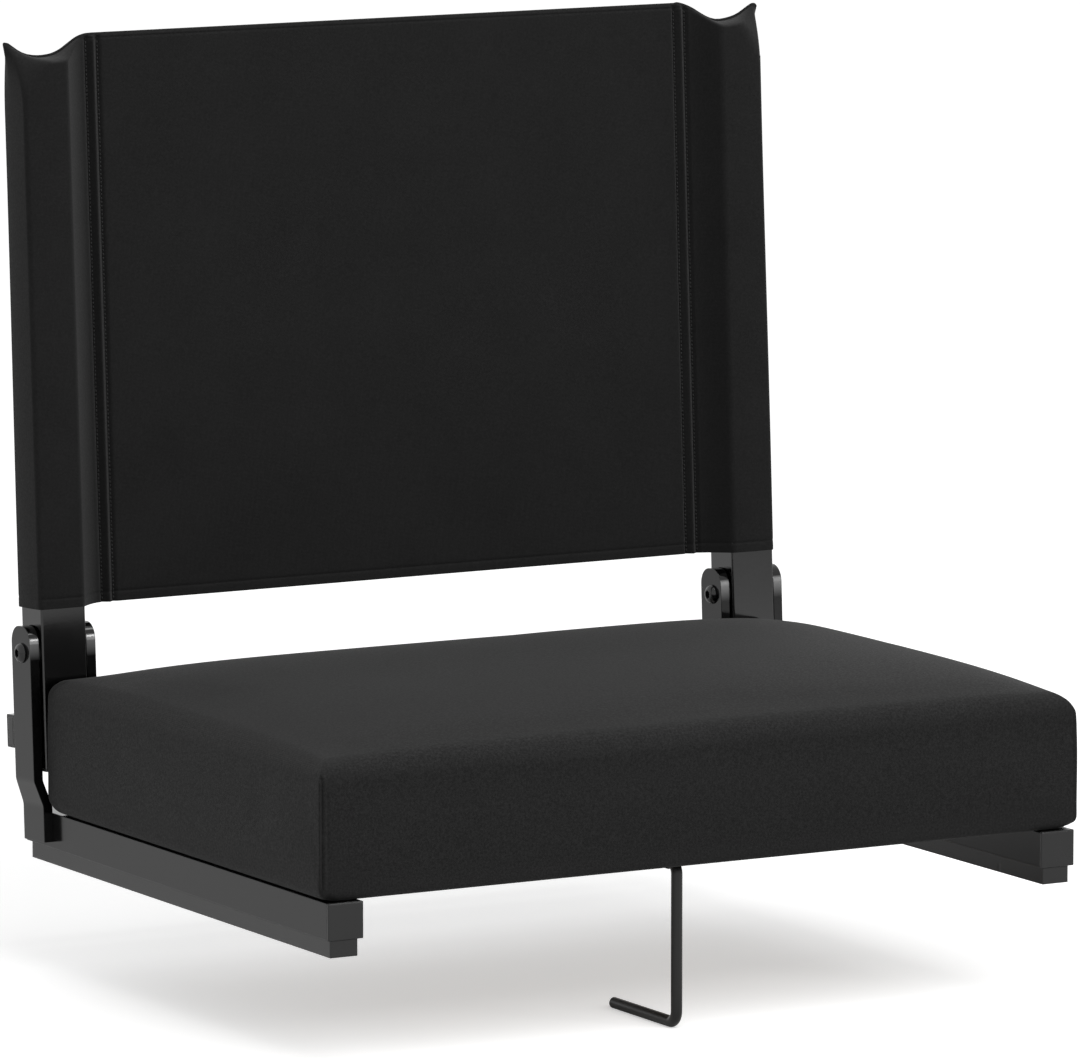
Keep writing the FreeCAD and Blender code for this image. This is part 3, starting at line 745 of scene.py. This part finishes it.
cover = {
    "pivot": (0, 0.138912, 0.1647),
    "lean": 3.0,
    "foot": 22.0,              # millimetres from the pivot, along the leaning back
    "top": 306.4,
    "cornerStart": 270.0,      # where the outer corners begin to draw towards the seam
    "roll": 2.8,               # depth of the faces' roll below the seam
    "lipHeight": 1.2,
    "lip": 0.8,
    "panelMiddle": 2.2,
    "panelHalf": 1.2,
    "leftSeam": 168.0,
    "rightSeam": 170.6,
    "rowGap": 3.2,             # each stitch row from the seam's middle
    "rowDepth": 1.4,
    "rowWidth": 1.2,
    "rearSink": 0.2,
    "ridge": 1.3,
    "ridgeWidth": 1.1,
    "flatPanel": 160.0,        # half the width of the panel's evenly spaced columns
    "webStart": 1.7,           # the sleeve's first column, past the outer stitch row
    "tubeInner": 186.1,
    "outer": 212.7,
    "half": 12.0,
    "corner": 2.6,
    "innerCorner": 4.0,
    "leftDips": ((168, -0.5), (171.9, -0.2), (176.4, 1.2), (180.9, 3.9), (185.5, 6.8), (190, 8.6), (194.4, 9.3),
                 (197.7, 9.4), (201.1, 9.1), (205.5, 8.0), (209.8, 5.6), (213.4, 3.0), (216, 2.3), (216.8, 2.6)),
    "rightDips": ((168, -0.5), (170, -0.8), (174.6, 0.4), (179.3, 2.5), (184, 5.3), (188.7, 7.7), (193.4, 8.9),
                  (195.8, 8.8), (200.6, 8.1), (205.5, 6.6), (210.4, 3.8), (214, 1.8), (216.2, 1.6), (217.2, 2.2)),
    "seamShares": ((0, 0), (0.15, 0.16), (0.30, 0.33), (0.50, 0.62), (0.70, 0.90), (0.80, 0.955), (1, 1)),
    "leftTip": 216.8,
    "rightTip": 217.2,
    "rightTaper": 0.8,         # of the right sleeve's outer side, towards the top
    "taperFrom": 60.0,
    "taperShares": (0.45, 0.75),
    "rearFlare": 1.7,          # of the sleeves' rear faces, towards the foot
    "flareTo": 240.0,
    "cornerShares": (0.5, 0.8),     # of the way round a sleeve, where its outer corner begins
    "hem": 5.0,                # line above the foot
    "hemDepth": 0.3,
    "hemWidth": 0.6,
    "topHem": 2.7,             # line below the panel's top
    "topHemDepth": 0.32,
    "topHemWidth": 0.5,
    "wave": 0.28,
    "waveFade": (150, 175),    # across, from the panel to the sleeves
    "cloth": 0.0007,
}


def onBack(x, y, z):
    # a place on the leaning back, in metres
    lean = math.radians(cover["lean"])
    return Vector((
        x / 1000,
        cover["pivot"][1] + (y * math.cos(lean) + z * math.sin(lean)) / 1000,
        cover["pivot"][2] + (z * math.cos(lean) - y * math.sin(lean)) / 1000))


def seamOf(side):
    return cover["leftSeam"] if side < 0 else cover["rightSeam"]


def panelLine(side):
    # half of the panel from the middle to the seam's outer row: place across, front and rear depth
    line = []
    for k in range(15):
        x = cover["flatPanel"] * k / 14
        line.append((x, cover["panelMiddle"] - cover["panelHalf"], cover["panelMiddle"] + cover["panelHalf"]))
    x = cover["flatPanel"] + 1.5
    while x < seamOf(side) + cover["rowGap"] + 1.6:
        off = x - seamOf(side)
        rise = cover["ridge"] * hump(off, 0, cover["ridgeWidth"])
        sink = hump(off, cover["rowGap"], cover["rowWidth"]) + hump(off, -cover["rowGap"], cover["rowWidth"])
        front = cover["panelMiddle"] - cover["panelHalf"] - rise + cover["rowDepth"] * sink
        rear = cover["panelMiddle"] + cover["panelHalf"] - cover["rearSink"] * sink
        line.append((x, front, rear))
        x += 0.42
    return line


def pocketLine(side):
    # the sleeve round the tube, from the seam to the middle of its outer side
    mid, half, turn = cover["panelMiddle"], cover["half"], cover["innerCorner"]
    startX, startY = seamOf(side) + cover["rowGap"] + cover["webStart"], mid - cover["panelHalf"]
    centreX, centreY = cover["tubeInner"] + turn, turn - half
    meet = math.radians(50)
    endX, endY = centreX - turn * math.sin(meet), centreY - turn * math.cos(meet)
    front = []
    for k in range(14):
        t = k / 13
        front.append((startX + (endX - startX) * t, startY + (endY - startY) * t ** 1.42))
    for k in range(1, 7):
        angle = meet * (1 - k / 6)
        front.append((centreX - turn * math.sin(angle), centreY - turn * math.cos(angle)))
    straight = cover["outer"] - cover["corner"]
    for k in range(1, 9):
        t = k / 8
        front.append((centreX + (straight - centreX) * t, -half - 0.3 * math.sin(math.pi * t)))
    for k in range(1, 9):
        angle = math.pi / 2 * k / 8
        front.append((straight + cover["corner"] * math.sin(angle),
                      -half + cover["corner"] * (1 - math.cos(angle))))
    for k in range(1, 7):
        t = k / 6
        front.append((cover["outer"] + 0.4 * math.sin(math.pi / 2 * t),
                      -half + cover["corner"] + (mid + half - cover["corner"]) * t))
    # the rear face follows the front one on the tube's other side, and meets the panel's rear
    line = []
    for x, y in front:
        out = (startY - y) / (startY + half) if y < startY else 0
        near = mid + cover["panelHalf"]
        rear = near + (half - near) * out
        if x > straight:
            rear = half - (half + y) * (half - mid) / (half + mid)
        line.append((x, y, rear))
    return line


def coverHalf(side):
    # from the front's middle round one side to the rear's: (x, y, pocket share, side, front or rear)
    panel, pocket = panelLine(side), pocketLine(side)
    lengths = [0]
    for a, b in zip(pocket, pocket[1:]):
        lengths.append(lengths[-1] + math.hypot(b[0] - a[0], b[1] - a[1]))
    shares = [length / lengths[-1] for length in lengths]
    rows = [(x, front, rear, 0) for x, front, rear in panel]
    rows += [(x, front, rear, share) for (x, front, rear), share in zip(pocket, shares)]
    ahead = [(side * x, front, share, side, -1) for x, front, rear, share in rows]
    behind = [(side * x, rear, share, side, 1) for x, front, rear, share in reversed(rows[:-1])]
    return ahead + behind


def coverColumns():
    left, right = coverHalf(-1), coverHalf(1)
    return left[::-1] + right[1:]


def coverRows():
    # (height, share of the closing top, share of the lip)
    hem = [cover["foot"] + step for step in (0, 0.3, 1, 2.2, 3.4, 4.2, 4.6, 5, 5.4, 5.8, 6.6, 8.6)]
    low = hem[-1]
    wall = [low + (cover["cornerStart"] - low) * k / 22 for k in range(1, 23)]
    closing = [0.06 * k for k in range(1, 13)] + [0.75, 0.78, 0.81, 0.84, 0.865, 0.885, 0.905, 0.92, 0.935, 0.95]
    closing += [0.96, 0.968, 0.976, 0.984, 0.99, 0.995, 0.998, 1]
    rows = [(z, 0, 0) for z in hem + wall] + [(cover["cornerStart"], t, 0) for t in closing]
    return rows + [(cover["cornerStart"], 1, t) for t in (0.35, 0.7, 0.9, 1)]


def coverPoint(column, row):
    x, y, share, side, face = column
    z, closing, onLip = row
    mid = cover["panelMiddle"]
    start = seamOf(side) + cover["rowGap"] + cover["webStart"]
    tip = cover["leftTip"] if side < 0 else cover["rightTip"]
    dips = cover["leftDips"] if side < 0 else cover["rightDips"]
    seamX = abs(x) if share == 0 else start + (tip - start) * alongKeys(cover["seamShares"], share)
    seamZ = cover["top"] - alongKeys(dips, seamX)
    panelPull = 1 - smoothStep(*cover["waveFade"], abs(x))
    if side > 0:
        upward = smoothStep(cover["taperFrom"], cover["cornerStart"], z)
        x -= cover["rightTaper"] * upward * smoothStep(*cover["taperShares"], share)
    if y > mid:
        downward = 1 - smoothStep(cover["foot"], cover["flareTo"], z)
        y += cover["rearFlare"] * downward * (y - mid) / (cover["half"] - mid)
    # hems: a shallow line above the foot and below the panel's top
    groove = 0
    if closing == 0:
        groove = cover["hemDepth"] * hump(z, cover["foot"] + cover["hem"], cover["hemWidth"])
    if closing > 0:
        lipZ = seamZ - cover["lipHeight"]
        z = z + (lipZ - z) * closing + cover["lipHeight"] * onLip
        if share == 0:
            groove = cover["topHemDepth"] * hump(seamZ - z, cover["topHem"], cover["topHemWidth"])
        drawn = lipZ - cover["roll"]
        toCorner = smoothStep(*cover["cornerShares"], share)
        drawn += (cover["cornerStart"] - drawn) * toCorner
        rise = min(max((z - drawn) / (lipZ - drawn), 0), 1)
        pull = (1 - math.sqrt(1 - rise * rise)) * (1 - toCorner) + rise * rise * toCorner
        lip = cover["lip"] * (1 - onLip ** 3)
        y = y + (mid + face * lip - y) * pull
        x = math.copysign(abs(x) + (seamX - abs(x)) * pull, x)
    y -= face * groove
    # the panel hangs between the sleeves with a slight wave
    wave = math.sin(x / 61 + 0.6) * math.sin(z / 83 + 0.4) + 0.5 * math.sin(x / 33 + z / 47)
    y += cover["wave"] * wave * panelPull * (1 - closing)
    return onBack(x, y, z)


def makeCover():
    columns, rows = coverColumns(), coverRows()
    deselectAll()
    bpy.ops.mesh.primitive_grid_add(x_subdivisions=len(columns) - 1, y_subdivisions=len(rows) - 1, size=2)
    piece = bpy.context.object
    piece.name = "backCover"
    around = [0]
    for a, b in zip(columns, columns[1:]):
        around.append(around[-1] + math.hypot(b[0] - a[0], b[1] - a[1]) / 1000)
    spots = []
    for vertex in piece.data.vertices:
        column = round((vertex.co.x + 1) / 2 * (len(columns) - 1))
        row = round((vertex.co.y + 1) / 2 * (len(rows) - 1))
        spots.append((column, row))
    for vertex, (column, row) in zip(piece.data.vertices, spots):
        vertex.co = coverPoint(columns[column], rows[row])
    flat = piece.data.uv_layers.active.data
    for corner in piece.data.loops:
        column, row = spots[corner.vertex_index]
        z, closing, onLip = rows[row]
        flat[corner.index].uv = (around[column], (z + 37 * closing + onLip) / 1000)
    workOn(piece)
    bpy.ops.object.mode_set(mode="EDIT")
    bpy.ops.mesh.select_all(action="SELECT")
    bpy.ops.mesh.remove_doubles(threshold=0.00001)
    bpy.ops.mesh.normals_make_consistent(inside=False)
    bpy.ops.object.mode_set(mode="OBJECT")
    ahead = onBack(0, -1000, 150)
    nearest = min(piece.data.polygons, key=lambda face: (face.center - ahead).length)
    if nearest.normal.y > 0:
        bpy.ops.object.mode_set(mode="EDIT")
        bpy.ops.mesh.flip_normals()
        bpy.ops.object.mode_set(mode="OBJECT")
    applyModifier(piece, "SOLIDIFY", thickness=cover["cloth"], offset=-1, use_even_offset=False)
    workOn(piece)
    bpy.ops.object.shade_smooth_by_angle(angle=math.radians(60))
    piece.data.materials.clear()
    piece.data.materials.append(finishes["backCloth"])
    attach(piece, "backrest")
    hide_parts("back_cover")
    print("back cover made,", len(piece.data.polygons), "faces")
    return piece


stitching = {
    "pitch": 2.0,
    "length": 1.35,
    "radius": 0.42,
    "sink": 1.0,               # of the thread's middle below the panel's face
    "nip": 0.18,               # bevel of a stitch's ends
    "from": 24.0,
    "to": 304.0,
}


def makeStitching():
    # one stitch, arrayed up the back, then a copy of the row for each seam line
    lean = math.radians(cover["lean"])
    front = cover["panelMiddle"] - cover["panelHalf"] + stitching["sink"]
    deselectAll()
    start = -seamOf(-1) - cover["rowGap"]
    place = onBack(start, front, stitching["from"])
    bpy.ops.mesh.primitive_cylinder_add(vertices=6, radius=stitching["radius"] / 1000,
                                        depth=stitching["length"] / 1000, location=place, rotation=(-lean, 0, 0))
    row = bpy.context.object
    row.name = "backStitching"
    bpy.ops.object.transform_apply(location=True, rotation=True, scale=True)
    bpy.ops.object.mode_set(mode="EDIT")
    selectFaces(row, lambda middle, normal: abs(normal.z) > 0.9)
    bpy.ops.mesh.region_to_loop()
    bpy.ops.mesh.bevel(offset=stitching["nip"] / 1000, segments=1, affect="EDGES")
    bpy.ops.object.mode_set(mode="OBJECT")
    step = stitching["pitch"] / 1000
    count = int((stitching["to"] - stitching["from"]) / stitching["pitch"])
    applyModifier(row, "ARRAY", use_relative_offset=False, use_constant_offset=True, count=count,
                  constant_offset_displace=(0, step * math.sin(lean), step * math.cos(lean)))
    rear = cover["panelMiddle"] + cover["panelHalf"]
    lines = [side * seamOf(side) + gap for side in (-1, 1) for gap in (-cover["rowGap"], cover["rowGap"])]
    copies = []
    for x in lines:
        for y in (front, rear):
            if x == start and y == front:
                continue
            workOn(row)
            bpy.ops.object.duplicate()
            another = bpy.context.object
            bpy.ops.transform.translate(value=onBack(x, y, 0) - onBack(start, front, 0))
            bpy.ops.object.transform_apply(location=True, rotation=True, scale=True)
            copies.append(another)
    workOn(row)
    for another in copies:
        another.select_set(True)
    bpy.ops.object.join()
    row.data.materials.clear()
    row.data.materials.append(finishes["thread"])
    bpy.ops.object.shade_smooth_by_angle(angle=math.radians(50))
    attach(row, "backrest")
    print("stitching made,", len(row.data.polygons), "faces")
    return row


backCover = makeCover()
backStitching = makeStitching()


deselectAll()
